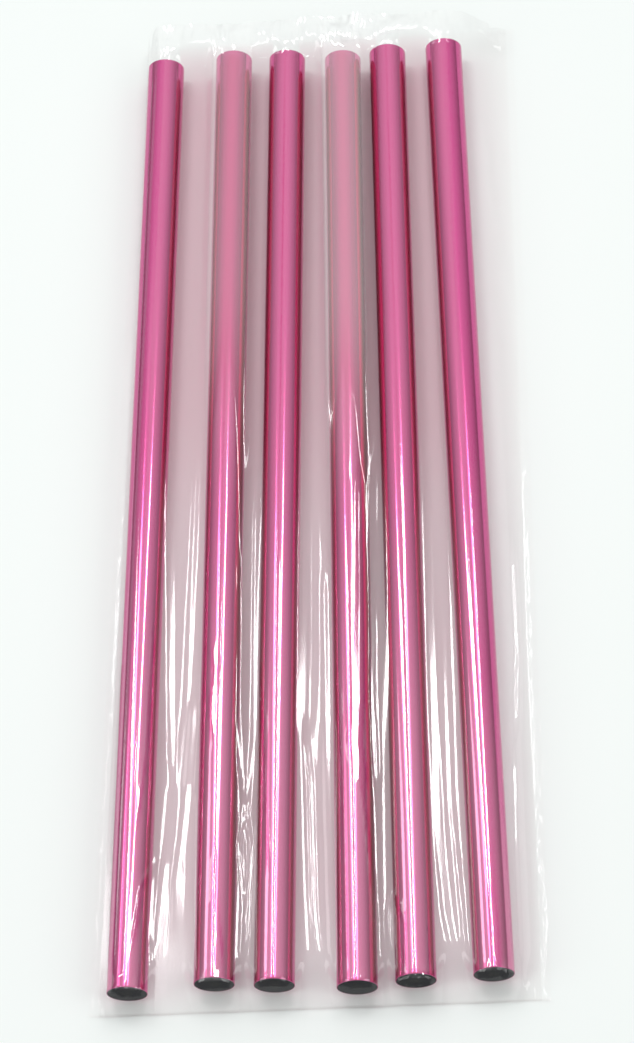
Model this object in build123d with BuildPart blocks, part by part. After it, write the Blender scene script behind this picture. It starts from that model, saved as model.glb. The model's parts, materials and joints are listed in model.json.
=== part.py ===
from build123d import *
import os
from itertools import accumulate
from math import asin, cos, radians, sin

# A pack of six unsharpened round pencils in a clear film bag.
# The bag lies flat: +Y runs along the pencils towards the bag's open mouth, +Z is up.
# The origin is the middle of the pack's underside. All sizes are in millimetres.

# --- Pencils -------------------------------------------------------------------------------
pencil_length = 190.0
pencil_diameter = 7.0
skin_thickness = 0.1        # the metallic wrap on the wood
core_diameter = 2.0         # the graphite core
roll_step = 137.5           # degrees: how much further each pencil is rolled than the one before

# --- How the pencils lie, from left to right -----------------------------------------------
bottom_gaps = [7.8, 3.2, 7.0, 2.9, 6.1]             # clear distances at the closed end
mouth_gaps = [6.3, 3.4, 3.8, 1.7, 3.9]              # clear distances at the mouth's end
end_offsets = [-0.4, 0.7, 0.1, -0.8, 0.0, 0.6]      # how far each pencil has slipped lengthwise
first_lean = 3.6            # how far pencil 1 leans towards the middle over its length

# --- Bag -----------------------------------------------------------------------------------
film = 0.1                  # wall of the film, twice that of a real bag so that it stays a solid
clearance = 0.15            # free space between the film and a pencil
left_margin = 3.5           # from the bag's left edge to pencil 1, at the closed end
mouth_left_margin = 2.3     # the same at the mouth, where the bag is pulled in
right_margin = 5.8          # from pencil 6 to the bag's right edge, at the closed end
bottom_slack = 3.2          # from the closed end's edge to the pencils
mouth_slack = 6.8           # from the pencils to the mouth's edge
weld_width = 1.5            # welded strip along each side

# --- Worked out from the sizes above -------------------------------------------------------
count = len(end_offsets)
pencil_radius = pencil_diameter / 2
wood_radius = pencil_radius - skin_thickness
core_radius = core_diameter / 2

bag_length = pencil_length + bottom_slack + mouth_slack
bag_width = left_margin + count * pencil_diameter + sum(bottom_gaps) + right_margin
y_bottom = -bag_length / 2
y_mouth = bag_length / 2
x_left = -bag_width / 2
x_right = bag_width / 2

z_floor = film                                  # inside of the bag, below
z_axis = z_floor + clearance + pencil_radius    # the pencils' centre lines
z_roof = z_axis + pencil_radius + clearance     # inside of the bag, above
z_top = z_roof + film

y_pencils = y_bottom + bottom_slack             # nominal closed-end face of the pencils
y_end_wall = y_pencils + min(end_offsets) - clearance


def row(first, gaps):
    """Centre positions across the pack, from the first one and the clear gaps."""
    return list(accumulate([first] + [pencil_diameter + gap for gap in gaps]))


bottom_x = row(x_left + left_margin + pencil_radius, bottom_gaps)
mouth_x = row(bottom_x[0] + first_lean, mouth_gaps)
leans = [asin((far - near) / pencil_length) for near, far in zip(bottom_x, mouth_x)]


def pencil_x(index, y):
    """Where the centre line of a pencil crosses the plane at y."""
    slope = (mouth_x[index] - bottom_x[index]) / pencil_length
    return bottom_x[index] + slope * (y - y_pencils)


x_left_mouth = pencil_x(0, y_mouth) - pencil_radius - mouth_left_margin


def left_edge(y):
    """The bag's left edge, which leans in towards the mouth."""
    return x_left + (x_left_mouth - x_left) * (y - y_bottom) / bag_length


def left_wall(y):
    """Outer face of the film that stands beside the first pencil."""
    return pencil_x(0, y) - pencil_radius - clearance - film


def right_wall(y):
    """Outer face of the film that stands beside the last pencil."""
    return pencil_x(count - 1, y) + pencil_radius + clearance + film


def station(y):
    """A plane across the pack at y: its first axis is X and its second is Z."""
    return Plane(origin=(0, y, 0), x_dir=(1, 0, 0), z_dir=(0, -1, 0))


def pencil_plane(index):
    """The closed-end face of a pencil: the plane's normal runs along the pencil."""
    lean = leans[index]
    roll = radians(roll_step * index)
    start = (bottom_x[index], y_pencils + end_offsets[index], z_axis)
    across = (cos(roll) * cos(lean), -cos(roll) * sin(lean), sin(roll))
    return Plane(origin=start, x_dir=across, z_dir=(sin(lean), cos(lean), 0))


# --- Pencils: a metallic skin, two grooved wood halves glued flat to flat, and the core ------
os.makedirs("parts", exist_ok=True)

for index in range(count):
    name = f"pencil_{index + 1}"
    end_face = pencil_plane(index)

    with BuildPart() as skin:
        with BuildSketch(end_face):
            Circle(pencil_radius)
            Circle(wood_radius, mode=Mode.SUBTRACT)
        extrude(amount=pencil_length)
    skin.part.label = f"{name}_skin"
    export_step(skin.part, f"parts/{name}_skin.step")

    for letter, kept in (("a", Align.MAX), ("b", Align.MIN)):
        with BuildPart() as half:
            with BuildSketch(end_face):
                Circle(wood_radius)
                Circle(core_radius, mode=Mode.SUBTRACT)
                Rectangle(pencil_diameter, pencil_diameter, align=(Align.CENTER, kept), mode=Mode.SUBTRACT)
            extrude(amount=pencil_length)
        half.part.label = f"{name}_slat_{letter}"
        export_step(half.part, f"parts/{name}_slat_{letter}.step")

    with BuildPart() as core:
        with BuildSketch(end_face):
            Circle(core_radius)
        extrude(amount=pencil_length)
    core.part.label = f"{name}_core"
    export_step(core.part, f"parts/{name}_core.step")


# --- Bag -----------------------------------------------------------------------------------
def side_to_side(left, right):
    """Corners of a strip from the closed end to the mouth, between two edges given as functions."""
    return [
        (left(y_bottom), y_bottom),
        (right(y_bottom), y_bottom),
        (right(y_mouth), y_mouth),
        (left(y_mouth), y_mouth),
    ]


def inner_left(y):
    """Inner edge of the left weld."""
    return left_edge(y) + weld_width


def inner_right(y):
    """Inner edge of the right weld."""
    return x_right - weld_width


# The back panel is the flat sheet between the two side welds.
with BuildPart() as back_panel:
    with BuildSketch():
        with BuildLine():
            Polyline(*side_to_side(inner_left, inner_right), close=True)
        make_face()
    extrude(amount=film)
back_panel.part.label = "bag_back_panel"
export_step(back_panel.part, "parts/bag_back_panel.step")

# Each side weld is a strip two films thick.
welds = {
    "left": side_to_side(left_edge, inner_left),
    "right": side_to_side(inner_right, lambda y: x_right),
}
for side, corners in welds.items():
    with BuildPart() as weld:
        with BuildSketch():
            with BuildLine():
                Polyline(*corners, close=True)
            make_face()
        extrude(amount=2 * film)
    weld.part.label = f"bag_{side}_weld"
    export_step(weld.part, f"parts/bag_{side}_weld.step")


def front_outline(y):
    """The front panel across the pack: foot, upright, roof, upright and foot, one film thick."""
    foot = z_floor + film
    outside = [
        (inner_left(y), foot),
        (left_wall(y), foot),
        (left_wall(y), z_top),
        (right_wall(y), z_top),
        (right_wall(y), foot),
        (inner_right(y), foot),
    ]
    inside = [
        (inner_right(y), z_floor),
        (right_wall(y) - film, z_floor),
        (right_wall(y) - film, z_roof),
        (left_wall(y) + film, z_roof),
        (left_wall(y) + film, z_floor),
        (inner_left(y), z_floor),
    ]
    return outside + inside


# The front panel arches over the pencils from the end wall to the open mouth.
with BuildPart() as front_panel:
    for y in (y_end_wall, y_mouth):
        with BuildSketch(station(y)):
            with BuildLine():
                Polyline(*front_outline(y), close=True)
            make_face()
    loft(ruled=True)
front_panel.part.label = "bag_front_panel"
export_step(front_panel.part, "parts/bag_front_panel.step")

# The bottom fold closes the other end: an upright wall on a flat foot.
with BuildPart() as bottom_fold:
    with BuildSketch(Plane(origin=(left_wall(y_end_wall), 0, 0), x_dir=(0, 1, 0), z_dir=(1, 0, 0))):
        with BuildLine():
            Polyline(
                (y_bottom, z_floor),
                (y_end_wall, z_floor),
                (y_end_wall, z_top),
                (y_end_wall - film, z_top),
                (y_end_wall - film, z_floor + film),
                (y_bottom, z_floor + film),
                close=True,
            )
        make_face()
    extrude(amount=right_wall(y_end_wall) - left_wall(y_end_wall))
bottom_fold.part.label = "bag_bottom_fold"
export_step(bottom_fold.part, "parts/bag_bottom_fold.step")
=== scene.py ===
import json
from math import cos, pi, radians, sin

import bmesh
import bpy
import numpy as np
from bpy.props import FloatProperty, FloatVectorProperty, IntProperty, PointerProperty
from mathutils import Matrix, Vector, noise


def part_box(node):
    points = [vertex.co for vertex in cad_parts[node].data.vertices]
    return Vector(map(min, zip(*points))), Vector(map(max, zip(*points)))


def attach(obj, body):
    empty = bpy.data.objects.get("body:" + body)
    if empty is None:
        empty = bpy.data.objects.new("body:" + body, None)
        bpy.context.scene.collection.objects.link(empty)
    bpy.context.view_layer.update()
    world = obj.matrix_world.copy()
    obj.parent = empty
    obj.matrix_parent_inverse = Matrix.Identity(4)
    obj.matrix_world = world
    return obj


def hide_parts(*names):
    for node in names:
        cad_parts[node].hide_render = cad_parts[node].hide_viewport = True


bl_info = {
    "name": "Pencil pack",
    "version": (1, 0, 0),
    "blender": (4, 5, 0),
    "location": "3D View > Sidebar > Pencil pack",
    "description": "Finishes six metallic pencils and the clear film bag that they lie in",
    "category": "Object",
}

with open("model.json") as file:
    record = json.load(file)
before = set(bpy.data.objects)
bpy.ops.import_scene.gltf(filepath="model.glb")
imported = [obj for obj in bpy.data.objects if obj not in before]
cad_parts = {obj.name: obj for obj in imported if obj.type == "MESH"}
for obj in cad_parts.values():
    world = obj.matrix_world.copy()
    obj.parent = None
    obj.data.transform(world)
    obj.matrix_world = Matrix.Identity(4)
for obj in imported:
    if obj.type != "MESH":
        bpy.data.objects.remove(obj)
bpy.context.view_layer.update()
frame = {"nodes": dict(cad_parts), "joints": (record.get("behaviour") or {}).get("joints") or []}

MM = 0.001
COUNT = sum(1 for joint in frame["joints"] if joint["type"] == "slide")


# --- What the frame says about the pencils and the bag ---------------------------------------
class Pencil:
    """One pencil's place: its middle, its direction, its radius and its length, in metres."""

    def __init__(self, number):
        low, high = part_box(f"pencil_{number}_skin")
        joint = next(j for j in frame["joints"] if j["child"] == f"pencil_{number}")
        self.body = f"pencil_{number}"
        self.middle = (low + high) / 2
        self.along = Vector(joint["axis"]).normalized()
        self.radius = (high.z - low.z) / 2
        reach = high.y - low.y - 2 * self.radius * abs(self.along.x)
        self.length = reach / self.along.y
        self.near = self.middle - self.along * self.length / 2
        self.far = self.middle + self.along * self.length / 2

    def x(self, y):
        """Where the centre line crosses the plane at y."""
        return self.middle.x + (y - self.middle.y) * self.along.x / self.along.y


PENCILS = [Pencil(number) for number in range(1, COUNT + 1)]


class Bag:
    """The bag's edges and levels, in metres."""

    def __init__(self):
        left_low, left_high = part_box("bag_left_weld")
        right_low, right_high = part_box("bag_right_weld")
        back_low, back_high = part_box("bag_back_panel")
        self.weld = right_high.x - right_low.x
        self.bottom, self.mouth = left_low.y, left_high.y
        self.left_bottom, self.left_mouth = left_low.x, left_high.x - self.weld
        self.right = right_high.x
        self.table = back_low.z
        self.floor = back_high.z

    def left(self, y):
        """The left edge, which leans in towards the mouth."""
        share = (y - self.bottom) / (self.mouth - self.bottom)
        return self.left_bottom + (self.left_mouth - self.left_bottom) * share


BAG = Bag()


# --- Values that a user would change ----------------------------------------------------------
def length_value(name, description, default):
    """A length in metres, shown in the scene's unit."""
    return FloatProperty(name=name, description=description, default=default, unit="LENGTH", precision=5)


def colour_value(name, description, default):
    """A colour."""
    return FloatVectorProperty(
        name=name, description=description, default=default, subtype="COLOR", size=3, min=0, max=1
    )


def place_value(name, description, default):
    """A place in metres."""
    return FloatVectorProperty(
        name=name, description=description, default=default, subtype="TRANSLATION", size=3, precision=5
    )


class PencilFinish(bpy.types.PropertyGroup):
    """Sizes and colours of the pencils."""

    facets: IntProperty(name="Facets", description="Sides round each skin", default=128, min=24)
    rim: length_value("Rim", "Rounding at the skin's cut edges", 0.06 * MM)
    wall: length_value("Skin wall", "Thickness of the metallic wrap", 0.1 * MM)
    skin: colour_value("Skin", "The metallic wrap's colour", (0.65, 0.10, 0.30))
    wood: colour_value("Wood", "The dyed wood", (0.006, 0.006, 0.008))
    core: colour_value("Core", "The graphite core", (0.009, 0.009, 0.010))


class FilmFinish(bpy.types.PropertyGroup):
    """Sizes of the film bag."""

    column: length_value("Column", "Width of one column of the film's mesh", 0.28 * MM)
    row: length_value("Row", "Length of one row of the film's mesh", 1.0 * MM)
    gap: length_value("Cling", "Space between the film and the pencils it clings to", 0.1 * MM)
    fold: length_value("Fold", "Thickness of the rounded fold at the closed end", 0.5 * MM)


class StageFinish(bpy.types.PropertyGroup):
    """The floor, the lights and the camera."""

    floor: colour_value("Floor", "The floor's colour", (0.90, 0.925, 0.915))
    eye: place_value("Eye", "Where the camera stands", (0.0509, -0.2967, 0.542))
    target: place_value("Target", "What the camera looks at", (0.0005, -0.0088, 0.004))
    roll: FloatProperty(
        name="Roll", description="Turn about the line of sight", default=radians(-11.57), unit="ROTATION"
    )
    lens: FloatProperty(name="Lens", description="Focal length in millimetres", default=117.3, unit="CAMERA")


# --- Material helpers -------------------------------------------------------------------------
def new_material(name):
    """An empty node material with its output: returns the material, its tree and the output node."""
    material = bpy.data.materials.new(name)
    material.use_nodes = True
    tree = material.node_tree
    tree.nodes.clear()
    return material, tree, tree.nodes.new("ShaderNodeOutputMaterial")


def node(tree, kind, inputs=None, **settings):
    """Adds a node, sets its attributes, and sets or links its inputs."""
    made = tree.nodes.new(kind)
    for key, value in settings.items():
        setattr(made, key, value)
    for key, value in (inputs or {}).items():
        if isinstance(value, bpy.types.NodeSocket):
            tree.links.new(value, made.inputs[key])
        else:
            made.inputs[key].default_value = value
    return made


def principled(tree, out, inputs):
    """Adds the surface shader with these inputs and links it to the output."""
    shader = node(tree, "ShaderNodeBsdfPrincipled", inputs)
    tree.links.new(shader.outputs[0], out.inputs["Surface"])


def grain_group():
    """Fine grain: stretched noise, put out as a value and as a roughness between two limits."""
    group = bpy.data.node_groups.new("fine_grain", "ShaderNodeTree")
    for name in ("Place", "Stretch"):
        group.interface.new_socket(name, in_out="INPUT", socket_type="NodeSocketVector")
    for name in ("Detail", "Smoothest", "Roughest"):
        group.interface.new_socket(name, in_out="INPUT", socket_type="NodeSocketFloat")
    for name in ("Grain", "Roughness"):
        group.interface.new_socket(name, in_out="OUTPUT", socket_type="NodeSocketFloat")
    given = node(group, "NodeGroupInput").outputs
    stretched = node(group, "ShaderNodeMapping", {"Vector": given["Place"], "Scale": given["Stretch"]})
    grain = node(
        group,
        "ShaderNodeTexNoise",
        {"Vector": stretched.outputs[0], "Scale": 1.0, "Detail": given["Detail"]},
    )
    rough = node(
        group,
        "ShaderNodeMapRange",
        {"Value": grain.outputs[0], "To Min": given["Smoothest"], "To Max": given["Roughest"]},
    )
    node(group, "NodeGroupOutput", {"Grain": grain.outputs[0], "Roughness": rough.outputs[0]})
    return group


def own_place(tree):
    """The socket of the piece's own coordinates."""
    return node(tree, "ShaderNodeTexCoord").outputs["Object"]


def grained(tree, stretch, detail, smoothest=0.0, roughest=1.0):
    """Places the grain on the piece's own coordinates and returns the group's sockets."""
    inputs = {
        "Place": own_place(tree),
        "Stretch": stretch,
        "Detail": detail,
        "Smoothest": smoothest,
        "Roughest": roughest,
    }
    group = bpy.data.node_groups.get("fine_grain") or grain_group()
    return node(tree, "ShaderNodeGroup", inputs, node_tree=group).outputs


def blend(tree, share, first, second):
    """Mixes two colours by a socket and returns the mixed colour's socket."""
    inputs = {0: share, 6: (*first, 1), 7: (*second, 1)}
    return node(tree, "ShaderNodeMix", inputs, data_type="RGBA").outputs[2]


def bump(tree, height, strength, distance):
    """A bump from a height socket, its distance in metres: returns the normal's socket."""
    inputs = {"Strength": strength, "Distance": distance, "Height": height}
    return node(tree, "ShaderNodeBump", inputs).outputs[0]


def finish_mesh(name, bm, material, body, slot, *nodes):
    """Makes the bmesh an object that rides on a body and stands for its nodes."""
    mesh = bpy.data.meshes.new(name)
    bm.to_mesh(mesh)
    bm.free()
    mesh.polygons.foreach_set("use_smooth", [True] * len(mesh.polygons))
    mesh.materials.append(material)
    piece = bpy.data.objects.new(name, mesh)
    bpy.context.scene.collection.objects.link(piece)
    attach(piece, body)
    if nodes:
        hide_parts(*nodes)
    return piece


# --- Pencils ----------------------------------------------------------------------------------
def skin_material(colour):
    """Metallic wrap: a tinted mirror with fine lines along the pencil."""
    material, tree, out = new_material("metallic_skin")
    lines = grained(tree, (2600, 9, 2600), 3.0, smoothest=0.12, roughest=0.17)
    # A skin that shows in its neighbour's mirror is blurred, so the lights make no hard double lines.
    path = node(tree, "ShaderNodeLightPath")
    blurred = node(
        tree,
        "ShaderNodeMath",
        {0: path.outputs["Is Glossy Ray"], 1: 0.35, 2: lines["Roughness"]},
        operation="MULTIPLY_ADD",
    )
    inputs = {
        "Base Color": (*colour, 1),
        "Metallic": 1.0,
        "Roughness": blurred.outputs[0],
        "Normal": bump(tree, lines["Grain"], 0.02, 0.1 * MM),
    }
    principled(tree, out, inputs)
    return material


def wood_material(colour):
    """Black-dyed wood, cut square: fine pores and growth rings that show only at the ends."""
    material, tree, out = new_material("dyed_wood")
    rings = grained(tree, (500, 40, 1500), 4.0, smoothest=0.28, roughest=0.5)
    pores = node(tree, "ShaderNodeTexVoronoi", {"Vector": own_place(tree), "Scale": 3800.0})
    pale = [3 * part for part in colour]
    inputs = {
        "Base Color": blend(tree, rings["Grain"], colour, pale),
        "Roughness": rings["Roughness"],
        "Specular IOR Level": 0.01,
        "Normal": bump(tree, pores.outputs[0], 0.25, 0.05 * MM),
    }
    principled(tree, out, inputs)
    return material


def core_material(colour):
    """Graphite: dark, with a faint grey sheen and a fine grain."""
    material, tree, out = new_material("graphite")
    grain = grained(tree, (6000, 6000, 6000), 2.0, smoothest=0.25, roughest=0.45)
    inputs = {
        "Base Color": (*colour, 1),
        "Roughness": grain["Roughness"],
        "Specular IOR Level": 0.02,
        "Normal": bump(tree, grain["Grain"], 0.15, 0.03 * MM),
    }
    principled(tree, out, inputs)
    return material


def floor_material(colour):
    """A pale, smooth sweep with the faintest unevenness."""
    material, tree, out = new_material("pale_floor")
    clouds = grained(tree, (9, 9, 9), 2.0)
    shaded = [0.985 * part for part in colour]
    inputs = {
        "Base Color": blend(tree, clouds["Grain"], colour, shaded),
        "Roughness": 0.7,
        "Specular IOR Level": 0.2,
    }
    principled(tree, out, inputs)
    return material


def skin_piece(pencil, number, values, material):
    """A thin tube spun round the pencil's centre line, with softly rounded rims."""
    bm = bmesh.new()
    outer, inner = pencil.radius, pencil.radius - values.wall
    half = pencil.length / 2
    support = half - 4 * values.rim
    corners = [(inner, -half), (outer, -half), (outer, -support), (outer, support), (outer, half)]
    corners += [(inner, half), (inner, support), (inner, -support)]
    verts = [bm.verts.new((radius, 0, z)) for radius, z in corners]
    bm.faces.new(verts)
    rims = [verts[1], verts[4]]
    bmesh.ops.bevel(
        bm, geom=rims, offset=values.rim, segments=3, profile=0.5, material=-1, affect="VERTICES"
    )
    profile = bm.edges[:]
    bmesh.ops.delete(bm, geom=bm.faces[:], context="FACES_ONLY")
    bmesh.ops.spin(
        bm, geom=profile, axis=(0, 0, 1), cent=(0, 0, 0), angle=2 * pi, steps=values.facets, use_merge=True
    )
    bmesh.ops.recalc_face_normals(bm, faces=bm.faces[:])
    turn = Vector((0, 0, 1)).rotation_difference(pencil.along).to_matrix().to_4x4()
    bmesh.ops.transform(bm, matrix=Matrix.Translation(pencil.middle) @ turn, verts=bm.verts[:])
    name = f"pencil_{number}_skin_wrap"
    return finish_mesh(name, bm, material, pencil.body, "skin", f"pencil_{number}_skin")


def paint(node_name, material):
    """Gives a CAD node its finish."""
    shown = frame["nodes"][node_name]
    if not shown.material_slots:
        shown.data.materials.append(material)
    for place in shown.material_slots:
        place.material = material


# --- Film -------------------------------------------------------------------------------------
# How much the film mirrors, seen straight on (one face) and at a glancing angle, and how fast the
# glancing part grows.
ONE_FACE = 0.04
GLANCING = 0.7
GLANCING_POWER = 5.0

# The film's gloss, as a number of faces: the loose film shows nearly both, the film under the
# pencils lies on the table and shows little, and so do the welds.
LOOSE_FACES = 1.6
TABLE_FACES = 0.4
WELD_FACES = 0.4
FOLD_FACES = 1.0


def film_material():
    """Clear film: see-through, with a mirror's gloss that grows at a glancing angle.

    The gloss attribute is how many faces mirror. The other attribute is 1 where the film hangs between the
    skins;
    there the see-through colour turns pink and darker, as painted pink light bounced from the skins and
    painted shade between the pencils."""
    material, tree, out = new_material("clear_film")
    weight = node(tree, "ShaderNodeLayerWeight", {"Blend": 0.5})
    glancing = node(
        tree, "ShaderNodeMath", {0: weight.outputs["Facing"], 1: GLANCING_POWER}, operation="POWER"
    )
    gloss = node(tree, "ShaderNodeAttribute", attribute_name="gloss")
    straight_on = node(tree, "ShaderNodeMath", {0: gloss.outputs["Fac"], 1: ONE_FACE}, operation="MULTIPLY")
    share = node(
        tree,
        "ShaderNodeMath",
        {0: glancing.outputs[0], 1: GLANCING, 2: straight_on.outputs[0]},
        operation="MULTIPLY_ADD",
        use_clamp=True,
    )
    painted_bounce = node(tree, "ShaderNodeAttribute", attribute_name="painted_bounce")
    # Between the skins the film's see-through colour turns pink and darker: painted pink light bounced from
    # the skins and painted shade between the pencils.
    bounce_tint = blend(tree, painted_bounce.outputs["Fac"], (0.995, 0.99, 0.99), (0.965, 0.85, 0.88))
    clear = node(tree, "ShaderNodeBsdfTransparent", {"Color": bounce_tint})
    sheen = node(tree, "ShaderNodeBsdfGlossy", {"Color": (1, 1, 1, 1), "Roughness": 0.07})
    mix = node(tree, "ShaderNodeMixShader", {0: share.outputs[0], 1: clear.outputs[0], 2: sheen.outputs[0]})
    tree.links.new(mix.outputs[0], out.inputs["Surface"])
    return material


def clear_film():
    """The film's material, made once."""
    return bpy.data.materials.get("clear_film") or film_material()


# How the film hangs between neighbouring pencils, gap by gap from left to right. Each station is
# the place along the bag (mm from its middle), how deep the film sags there (mm) and where across
# the gap it is lowest (0 at the left pencil's centre line, 1 at the right one's).
SAGS = [
    [(-95, 1.6, 0.50), (-60, 2.8, 0.50), (0, 1.8, 0.50), (100, 2.3, 0.50)],
    [(-95, 1.4, 0.50), (-60, 1.7, 0.50), (0, 1.3, 0.45), (100, 1.2, 0.50)],
    [(-95, 2.2, 0.50), (-50, 1.8, 0.40), (0, 2.0, 0.40), (100, 1.5, 0.50)],
    [(-95, 1.6, 0.50), (-50, 1.2, 0.40), (0, 1.0, 0.45), (100, 0.6, 0.50)],
    [(-95, 1.5, 0.55), (-50, 1.5, 0.45), (0, 1.8, 0.50), (100, 1.4, 0.50)],
]

# Long flat facets in the film, which shine as lines and bands. Each has its gap (0 is left of
# pencil 1), its points (share across the gap, mm along the bag), the strip light that it faces
# and its half-width (mm).
FACETS = [
    (0, [(0.20, 85), (0.20, -90)], "left", 0.2),
    (0, [(0.40, 95), (0.45, 30), (0.40, -95)], "left", 0.3),
    (0, [(0.62, 90), (0.65, -95)], "left", 0.25),
    (1, [(0.32, 5), (0.40, -40), (0.47, -58)], "right", 0.5),
    (1, [(0.67, 5), (0.62, -45), (0.50, -58)], "left", 0.5),
    (1, [(0.72, -42), (0.65, -62), (0.58, -78), (0.50, -94)], "left", 0.6),
    (1, [(0.45, -72), (0.36, -99)], "right", 0.8),
    (1, [(0.55, -74), (0.65, -99)], "left", 0.8),
    (1, [(0.28, -74), (0.12, -79), (0.06, -90)], "left", 0.35),
    (1, [(0.28, -74), (0.29, -88), (0.40, -97)], "right", 0.35),
    (1, [(0.15, -30), (0.12, -55), (0.05, -70)], "right", 0.3),
    (1, [(0.94, -34), (0.97, -40), (0.93, -46), (0.98, -54)], "left", 0.4),
    (2, [(0.05, -70), (0.02, -80), (0.06, -86), (0.14, -93)], "right", 0.4),
    (2, [(0.25, -15), (0.30, -48), (0.50, -64), (0.62, -72), (0.55, -93)], "right", 0.35),
    (2, [(0.60, -5), (0.62, -52), (0.50, -64), (0.38, -72), (0.55, -88), (0.40, -97)], "left", 0.35),
    (2, [(0.74, -35), (0.85, -55), (0.94, -78)], "left", 0.35),
    (3, [(0.35, 2), (0.35, -30), (0.32, -52)], "right", 0.8),
    (3, [(0.38, -50), (0.46, -60), (0.50, -85), (0.60, -97)], "right", 0.4),
    (3, [(0.66, -20), (0.68, -60), (0.73, -93)], "left", 0.5),
    (3, [(0.83, -40), (0.90, -60), (0.92, -95)], "left", 0.35),
    (4, [(0.15, 0), (0.10, -45), (0.05, -54), (0.14, -63)], "right", 0.8),
    (4, [(0.12, -60), (0.22, -72), (0.35, -90)], "right", 0.35),
    (4, [(0.48, 0), (0.38, -45), (0.42, -62)], "left", 0.5),
    (4, [(0.68, -80), (0.60, -85), (0.60, -93)], "right", 0.35),
    (4, [(0.68, -80), (0.90, -88), (0.85, -96)], "left", 0.35),
    (5, [(0.40, 5), (0.37, -45), (0.37, -70), (0.45, -86), (0.60, -99)], "right", 0.6),
    (5, [(0.60, -10), (0.54, -65), (0.65, -96)], "left", 0.4),
    (6, [(0.03, -83), (0.08, -90), (0.03, -96)], "right", 0.35),
    (6, [(0.76, -15), (0.77, -35), (0.68, -52)], "right", 0.5),
    (6, [(0.64, -54), (0.60, -72), (0.60, -95)], "right", 0.4),
]

# How steeply a facet at the bag's middle rises to the right to face each strip light, and how much
# that grows with every metre across the bag.
FACING = {"left": 0.115, "right": -0.155}
FACING_GROWTH = 1.8

# The one raised crease, across the corner of the mouth: its gap, points, height and half-width.
CREASES = [(6, [(0.50, 75), (0.55, 60), (0.80, 45), (0.95, 38)], 0.35, 0.8)]

# Chance ripples in the hanging film: their sizes across and along the bag (mm), seed and height (mm).
RIPPLES = [(2.2, 60, 1.7, 0.03), (4, 30, 7.3, 0.09)]

# Levels and distances of the front film, in metres: above the back film at its lowest, above the
# pencils where it bridges them, the rounding where hanging film meets a pencil, how far off a
# pencil it counts as hanging free, and how far it still covers a pencil past its near end.
LOWEST = 0.1 * MM
BRIDGE_RISE = 0.12 * MM
MEETING = 0.25 * MM
FREE_AT = 0.15 * MM
OVERHANG = 1.2 * MM

# How far the bag's lowest film stands off the table, in metres.
OFF_TABLE = 0.06 * MM

# A bridge over a pencil, in metres: half its flat width, its soft edge, how long it takes to begin,
# and half the width and the soft edge of its dull strip.
BRIDGE_HALF = 5.4 * MM
BRIDGE_EDGE = 2.0 * MM
BRIDGE_RUN = 60 * MM
DULL_HALF = 4.4 * MM
DULL_EDGE = 1.2 * MM

# Pencils that the film bridges flat towards the mouth instead of wrapping: from where (mm), and how
# much more it mirrors there.
BRIDGED = {2: (5, 2.3), 4: (0, 3.3)}


def smooth(value):
    """0 below 0, 1 above 1, and a smooth rise between."""
    value = np.clip(value, 0, 1)
    return value * value * (3 - 2 * value)


def soft_max(a, b, blend):
    """The larger of two heights, rounded where they meet."""
    spread = np.maximum(blend - np.abs(a - b), 0) / blend
    return np.maximum(a, b) + spread * spread * blend / 4


def ripples(x, y, across, along, seed):
    """Smooth chance ripples from -1 to 1, with their sizes across and along the bag in metres."""
    values = [noise.noise(Vector((a / across, b / along, seed))) for a, b in zip(x.flat, y.flat)]
    return np.array(values).reshape(x.shape)


def stops_at(y):
    """The bag's inner left edge, the pencils' centre lines and the inner right edge at y."""
    edges = [BAG.left(y) + BAG.weld]
    edges += [pencil.x(y) for pencil in PENCILS]
    return edges + [BAG.right - BAG.weld + 0 * y]


# How early the film's slope up from a weld reaches the pencils' height: 1 is at the pencil.
LEFT_HURRY = 1.25
RIGHT_HURRY = 1.05


def sagging(x, y, top, base):
    """The film as it hangs from pencil to pencil and slopes down to the welds at the sides."""
    stops = stops_at(y)
    height = np.full(x.shape, base)
    for index, stations in enumerate([None, *SAGS, None]):
        left, right = stops[index], stops[index + 1]
        inside = (x >= left) & (x <= right)
        share = np.clip((x - left) / (right - left), 0, 1)
        if stations is None:
            climb, hurry = (share, LEFT_HURRY) if index == 0 else (1 - share, RIGHT_HURRY)
            level = base + (top - base) * smooth(climb * hurry) ** 0.9
        else:
            places, depths, lows = np.array(stations).T
            depth = np.interp(y, places * MM, depths) * MM
            low = np.interp(y, places * MM, lows)
            bent = np.where(share < low, share / low, (1 - share) / (1 - low)) / 2
            level = top - depth * 4 * bent * (1 - bent)
        height = np.where(inside, level, height)
    return height


def along_line(x, y, gap, points):
    """How far each place is from a line across a gap, and a mask that fades out past its ends."""
    stops = stops_at(y)
    shares, places = np.array(sorted(points, key=lambda point: point[1])).T
    places = places * MM
    share = np.interp(y, places, shares)
    line = stops[gap] + (stops[gap + 1] - stops[gap]) * share
    fade = min(9 * MM, (places[-1] - places[0]) / 2)
    mask = smooth((y - places[0]) / fade + 0.5) * smooth((places[-1] - y) / fade + 0.5)
    return x - line, mask


def creased(x, y):
    """The creases' heights, added up."""
    total = np.zeros(x.shape)
    for gap, points, height, width in CREASES:
        off, mask = along_line(x, y, gap, points)
        total += height * MM * mask * np.exp(-((off / (width * MM)) ** 2))
    return total


def faceted(x, y, height):
    """The film with its flat facets worked in: each keeps the height that its line has."""
    for gap, points, light, width in FACETS:
        off, mask = along_line(x, y, gap, points)
        level = np.array([np.interp(0, row_off, row) for row_off, row in zip(off, height)])
        slope = FACING[light] + FACING_GROWTH * (x - off)
        half = width * MM * (0.35 + 0.65 * mask)
        blend = mask * smooth((half * 2 - np.abs(off)) / half)
        height = height + (level[:, None] + 0.05 * MM + slope * off - height) * blend
    return height


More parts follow.
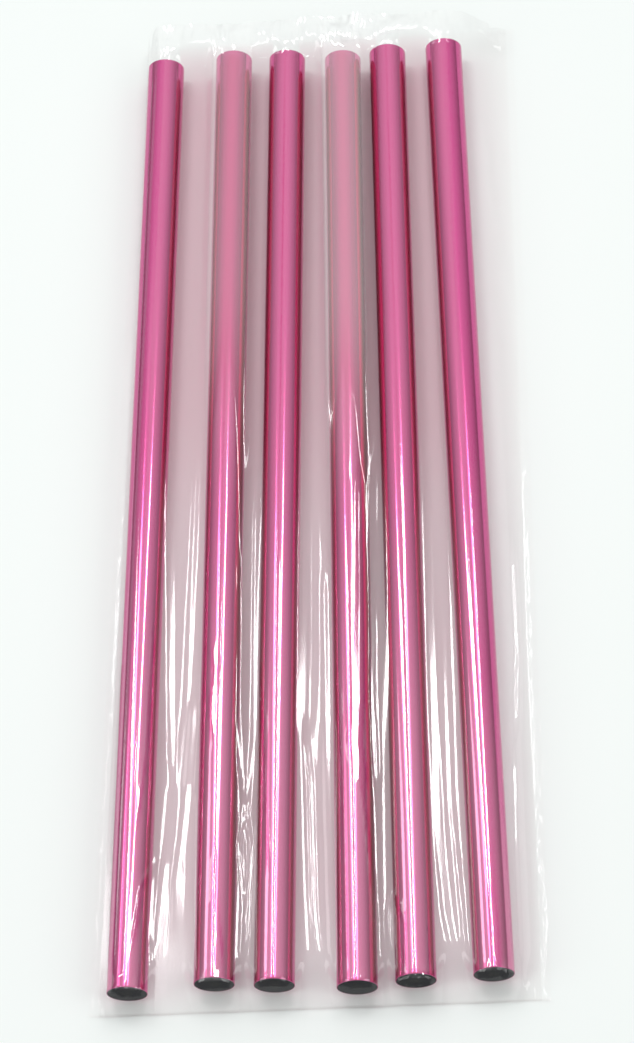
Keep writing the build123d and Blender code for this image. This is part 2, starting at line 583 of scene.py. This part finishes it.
def bridged(x, y, number):
    """How flat the film lies over a pencil that it bridges, and how dull it is there."""
    start, shine = BRIDGED[number]
    off = np.abs(x - PENCILS[number - 1].x(y))
    lift = smooth((y - start * MM) / BRIDGE_RUN + 0.3)
    flat = smooth((BRIDGE_HALF - off) / BRIDGE_EDGE) * lift
    dull = smooth((DULL_HALF - off) / DULL_EDGE) * lift * shine
    return flat, dull


def hanging_gloss(x, y):
    """The gloss of film that hangs free: little towards the mouth, and less beside the last pencil."""
    beside = smooth((x - PENCILS[-1].x(y) - 4 * MM) / (5 * MM))
    return 0.25 + (0.85 - 0.35 * beside) * smooth((10 * MM - y) / (30 * MM))


def clinging_gloss(y):
    """The gloss of film that clings to a pencil: it grows towards the closed end."""
    return 1.3 + 1.2 * smooth(-y / (60 * MM))


def crumpled(x, y, height, top):
    """Beyond the pencils' far ends the film is level from pencil to pencil, and its edge crumples.

    Returns the height and how crumpled each place is."""
    far = min(pencil.far.y for pencil in PENCILS)
    crumple = smooth((y - far) / (3 * MM))
    spanned = (x > PENCILS[0].x(y)) & (x < PENCILS[-1].x(y))
    height = np.where(spanned, height + (top - height) * crumple, height)
    big = ripples(x, y, 5 * MM, 3.5 * MM, 3.1)
    small = np.abs(ripples(x, y, 1.8 * MM, 1.5 * MM, 9.2))
    return height + crumple * (0.5 + 0.9 * big + 0.9 * small).clip(0) * MM, crumple


def closed(x, y, height, base, cover):
    """At the closed end the film comes down from each pencil's end to the fold, and puckers there.

    Returns the height, where the pencils' near ends are and how puckered each place is."""
    near = np.interp(x, [pencil.near.x for pencil in PENCILS], [pencil.near.y for pencil in PENCILS])
    over = np.min([np.abs(x - pencil.near.x) for pencil in PENCILS], axis=0)
    start = near + smooth((over - 2.5 * MM) / (3 * MM)) * 5 * MM
    drop = smooth(np.clip((y - BAG.bottom) / (start - BAG.bottom), 0, 1)) ** 0.6
    height = np.maximum(base + (height - base) * drop, cover)
    pucker = smooth((near + 2 * MM - y) / (3 * MM)) * smooth((y - BAG.bottom) / (1.5 * MM))
    folds = np.abs(ripples(x, y, 2.4 * MM, 3.2 * MM, 5.5)) + np.abs(ripples(x, y, 1.1 * MM, 2 * MM, 8.1))
    return height + pucker * folds * 0.55 * MM, near, pucker


def film_shape(x, y, gap):
    """Height of the front film over the pencils, its gloss, and its painted pink bounce light and shade
    between the pencils.
    """
    first = PENCILS[0]
    top = first.middle.z + first.radius + gap
    base = BAG.floor + LOWEST
    height = sagging(x, y, top, base)
    wrap = np.full(x.shape, -1.0)
    cover = np.full(x.shape, -1.0)
    veil = np.zeros(x.shape)
    for number, pencil in enumerate(PENCILS, start=1):
        off = x - pencil.x(y)
        reach = pencil.radius + gap
        arc = pencil.middle.z + np.sqrt(np.clip(reach * reach - off * off, 0, None))
        arc = np.where(np.abs(off) < reach, arc, -1.0)
        wrap = np.maximum(wrap, arc)
        cover = np.where(y > pencil.near.y - OVERHANG, np.maximum(cover, arc), cover)
        if number in BRIDGED:
            flat, dull = bridged(x, y, number)
            height = height + (top + BRIDGE_RISE - height) * flat
            veil = np.maximum(veil, dull)
    loose = height + creased(x, y)
    for across, along, seed, rise in RIPPLES:
        loose += ripples(x, y, across * MM, along * MM, seed) * rise * MM
    height = np.maximum(faceted(x, y, soft_max(loose, wrap, MEETING)), wrap)
    free = smooth((height - wrap) / FREE_AT)
    gloss = np.maximum(clinging_gloss(y) * (1 - free), hanging_gloss(x, y) * free) + veil

    height, crumple = crumpled(x, y, height, top)
    height, near, pucker = closed(x, y, height, base, cover)
    gloss = np.where(y < near, 0.4 + 0.5 * pucker, gloss + crumple)
    stops = stops_at(y)
    between = smooth((x - stops[1]) / (4 * MM)) * smooth((stops[-2] - x) / (4 * MM))
    # Painted pink bounce light and shade where the film hangs free between the first and last pencils:
    # weaker towards the closed end, and none past the pencils' ends or where the film clings.
    painted_bounce = between * (0.6 + 0.4 * smooth((y + 15 * MM) / (40 * MM))) * smooth((y - near) / (20 * MM))
    return np.maximum(height, base), gloss * LOOSE_FACES, painted_bounce * free * (1 - crumple)


def film_grid(columns_per_stop, rows, level):
    """A grid from weld to weld and from the fold to the mouth, whose columns follow the pencils.

    level gives the heights, the gloss and the painted pink bounce light and shade at arrays of places."""
    columns = sum(columns_per_stop)
    along = np.linspace(BAG.bottom, BAG.mouth, rows + 1)
    stops = np.array([np.broadcast_to(stop, along.shape) for stop in stops_at(along)])
    marks = np.concatenate([[0], np.cumsum(columns_per_stop)])
    x = np.array([np.interp(np.arange(columns + 1), marks, stops[:, row]) for row in range(rows + 1)])
    y = np.broadcast_to(along[:, None], x.shape)
    z, gloss, painted_bounce = level(x, y)
    bm = bmesh.new()
    bmesh.ops.create_grid(bm, x_segments=columns, y_segments=rows, size=0.5)
    gloss_layer = bm.verts.layers.float.new("gloss")
    # This layer carries the painted pink bounce light and shade.
    painted_bounce_layer = bm.verts.layers.float.new("painted_bounce")
    for vert in bm.verts:
        column = round((vert.co.x + 0.5) * columns)
        row = round((vert.co.y + 0.5) * rows)
        vert[gloss_layer] = gloss[row, column]
        vert[painted_bounce_layer] = painted_bounce[row, column]
        vert.co = (x[row, column], y[row, column], z[row, column])
    return bm


def weld_grid(left, right):
    """A crimped strip along one side of the bag, between two edges given as functions of y."""
    rows, columns = 240, 8
    bm = bmesh.new()
    bmesh.ops.create_grid(bm, x_segments=columns, y_segments=rows, size=0.5)
    layer = bm.verts.layers.float.new("gloss")
    for vert in bm.verts:
        y = BAG.bottom + (vert.co.y + 0.5) * (BAG.mouth - BAG.bottom)
        share = vert.co.x + 0.5
        x = left(y) + (right(y) - left(y)) * share
        curl = noise.noise(Vector((y * 90, 5.0, 0))) * 0.5 + 0.5
        bead = noise.noise(Vector((y * 700, share * 3, 2.0))) * 0.5 + 0.5
        vert[layer] = WELD_FACES
        vert.co = (x, y, BAG.floor + (0.2 + 0.3 * curl * abs(share - 0.5) + 0.1 * bead) * MM)
    return bm


def fold_grid(thick):
    """The closed end's rounded fold: a strip bent half round between the two films."""
    columns, rows = 260, 10
    bm = bmesh.new()
    bmesh.ops.create_grid(bm, x_segments=columns, y_segments=rows, size=0.5)
    layer = bm.verts.layers.float.new("gloss")
    for vert in bm.verts:
        x = BAG.left_bottom + (vert.co.x + 0.5) * (BAG.right - BAG.left_bottom)
        turn = (vert.co.y + 0.5) * pi
        puff = 1 + 0.5 * noise.noise(Vector((x * 160, 0, 4.0)))
        y = BAG.bottom + thick * (1 - puff * sin(turn))
        z = BAG.table + OFF_TABLE + thick * puff * (1 - cos(turn)) / 2
        vert[layer] = FOLD_FACES
        vert.co = (x, y, z)
    bmesh.ops.reverse_faces(bm, faces=bm.faces[:])
    return bm


# The film under the pencils is nearly flat, so its mesh is coarser: columns from pencil to pencil, rows.
UNDER_SPAN = 6
UNDER_ROWS = 60

# The floor's half width in metres, and how far it lies below the bag so that the two don't meet.
FLOOR_HALF = 2.0
FLOOR_DROP = 0.05 * MM


class PACK_OT_pencils(bpy.types.Operator):
    """Wrap each pencil in its metallic skin and finish the wood and the core"""

    bl_idname = "pencil_pack.pencils"
    bl_label = "Pencils"

    def execute(self, context):
        values = context.scene.pencil_finish
        skin = skin_material(values.skin)
        wood = wood_material(values.wood)
        core = core_material(values.core)
        for number, pencil in enumerate(PENCILS, start=1):
            skin_piece(pencil, number, values, skin)
            paint(f"pencil_{number}_slat_a", wood)
            paint(f"pencil_{number}_slat_b", wood)
            paint(f"pencil_{number}_core", core)
        return {"FINISHED"}


class PACK_OT_film(bpy.types.Operator):
    """Lay the clear film over and under the pencils"""

    bl_idname = "pencil_pack.film"
    bl_label = "Film bag"

    def execute(self, context):
        values = context.scene.film_finish
        film = clear_film()
        stops = stops_at(0.0)
        spans = [max(2, round((b - a) / values.column)) for a, b in zip(stops, stops[1:])]
        rows = round((BAG.mouth - BAG.bottom) / values.row)
        bm = film_grid(spans, rows, lambda x, y: film_shape(x, y, values.gap))
        front = finish_mesh("film_front", bm, film, "bag", "film", "bag_front_panel")

        def lying(x, y):
            lift = ripples(x, y, 9 * MM, 25 * MM, 6.4) * 0.04 * MM
            return BAG.table + OFF_TABLE + lift, np.full(x.shape, TABLE_FACES), np.zeros(x.shape)

        bm = film_grid([UNDER_SPAN] * (COUNT + 1), UNDER_ROWS, lying)
        back = finish_mesh("film_back", bm, film, "bag", "film", "bag_back_panel")
        return {"FINISHED"}


class PACK_OT_edges(bpy.types.Operator):
    """Close the bag: the welds along its sides and the fold at its end"""

    bl_idname = "pencil_pack.edges"
    bl_label = "Welds and fold"

    def execute(self, context):
        values = context.scene.film_finish
        film = clear_film()
        sides = {
            "left": (BAG.left, lambda y: BAG.left(y) + BAG.weld),
            "right": (lambda y: BAG.right - BAG.weld, lambda y: BAG.right),
        }
        for side, (left_edge, right_edge) in sides.items():
            bm = weld_grid(left_edge, right_edge)
            finish_mesh(f"weld_{side}", bm, film, "bag", "film", f"bag_{side}_weld")
        finish_mesh("film_fold", fold_grid(values.fold), film, "bag", "film", "bag_bottom_fold")
        return {"FINISHED"}


def studio_world():
    """Soft surrounding light, brightest high up beyond the mouth and dimmer away from there."""
    world = bpy.data.worlds.new("studio")
    world.use_nodes = True
    tree = world.node_tree
    place = node(tree, "ShaderNodeTexCoord")
    towards = node(
        tree,
        "ShaderNodeVectorMath",
        {0: place.outputs["Generated"], 1: (0.0, 0.48, 0.87)},
        operation="DOT_PRODUCT",
    )
    spread = {"From Min": 0.35, "From Max": 1.0, "To Min": 0.38, "To Max": 1.08}
    level = node(tree, "ShaderNodeMapRange", {"Value": towards.outputs["Value"], **spread})
    background = tree.nodes["Background"]
    background.inputs["Color"].default_value = (0.97, 1.0, 0.985, 1)
    tree.links.new(level.outputs[0], background.inputs["Strength"])
    return world


# The lights: name, place and size in metres, and watts. Two strips and a wider panel beyond the
# mouth draw the long glints, and the boxes light the floor.
LIGHTS = [
    ("strip_left", (-0.174, 0.2, 0.545), (0.026, 0.21), 0.38),
    ("strip_right", (0.118, 0.2, 0.545), (0.026, 0.21), 0.38),
    ("panel_left", (-0.5, 0.2, 0.5), (0.12, 0.2), 0.14),
    ("box_left", (-0.6, -0.2, 0.45), (0.4, 0.4), 0.95),
    ("box_right", (0.6, -0.2, 0.45), (0.4, 0.4), 0.95),
]


def add_light(name, place, size, watts):
    """A flat light that faces the pack."""
    light = bpy.data.lights.new(name, "AREA")
    light.shape = "RECTANGLE"
    light.size, light.size_y = size
    light.energy = watts
    lamp = bpy.data.objects.new(name, light)
    lamp.location = place
    lamp.rotation_euler = (-lamp.location).to_track_quat("-Z", "Y").to_euler()
    bpy.context.scene.collection.objects.link(lamp)


class PACK_OT_stage(bpy.types.Operator):
    """Set the pale floor, the soft lights and the camera"""

    bl_idname = "pencil_pack.stage"
    bl_label = "Stage"

    def execute(self, context):
        values = context.scene.stage_finish
        scene = context.scene
        bm = bmesh.new()
        bmesh.ops.create_grid(bm, x_segments=1, y_segments=1, size=FLOOR_HALF)
        bmesh.ops.translate(bm, verts=bm.verts[:], vec=(0, 0, BAG.table - FLOOR_DROP))
        mesh = bpy.data.meshes.new("floor")
        bm.to_mesh(mesh)
        bm.free()
        mesh.materials.append(floor_material(values.floor))
        floor = bpy.data.objects.new("floor", mesh)
        scene.collection.objects.link(floor)

        scene.world = studio_world()
        for light in LIGHTS:
            add_light(*light)

        camera = bpy.data.cameras.new("camera")
        camera.lens = values.lens
        camera.clip_start = 0.01
        eye = bpy.data.objects.new("camera", camera)
        sight = Vector(values.target) - Vector(values.eye)
        turn = sight.to_track_quat("-Z", "Y").to_matrix().to_4x4() @ Matrix.Rotation(values.roll, 4, "Z")
        eye.matrix_world = Matrix.Translation(Vector(values.eye)) @ turn
        scene.collection.objects.link(eye)
        scene.camera = eye
        scene.view_settings.view_transform = "Standard"
        return {"FINISHED"}


class PACK_PT_panel(bpy.types.Panel):
    """The pack's operators, in the sidebar"""

    bl_label = "Pencil pack"
    bl_idname = "PACK_PT_panel"
    bl_space_type = "VIEW_3D"
    bl_region_type = "UI"
    bl_category = "Pencil pack"

    def draw(self, context):
        for operator in OPERATORS:
            self.layout.operator(operator.bl_idname)


OPERATORS = (PACK_OT_pencils, PACK_OT_film, PACK_OT_edges, PACK_OT_stage)
GROUPS = {"pencil_finish": PencilFinish, "film_finish": FilmFinish, "stage_finish": StageFinish}


def register():
    """Registers the property groups, the operators and the panel."""
    for kind in (*GROUPS.values(), *OPERATORS, PACK_PT_panel):
        bpy.utils.register_class(kind)
    for name, kind in GROUPS.items():
        setattr(bpy.types.Scene, name, PointerProperty(type=kind))


def unregister():
    """Takes them out again."""
    for name in GROUPS:
        delattr(bpy.types.Scene, name)
    for kind in (PACK_PT_panel, *OPERATORS, *GROUPS.values()):
        bpy.utils.unregister_class(kind)


def main():
    """Makes the pack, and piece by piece."""
    register()
    bpy.ops.pencil_pack.pencils()
    bpy.ops.pencil_pack.film()
    bpy.ops.pencil_pack.edges()
    bpy.ops.pencil_pack.stage()


if __name__ == "__main__":
    main()
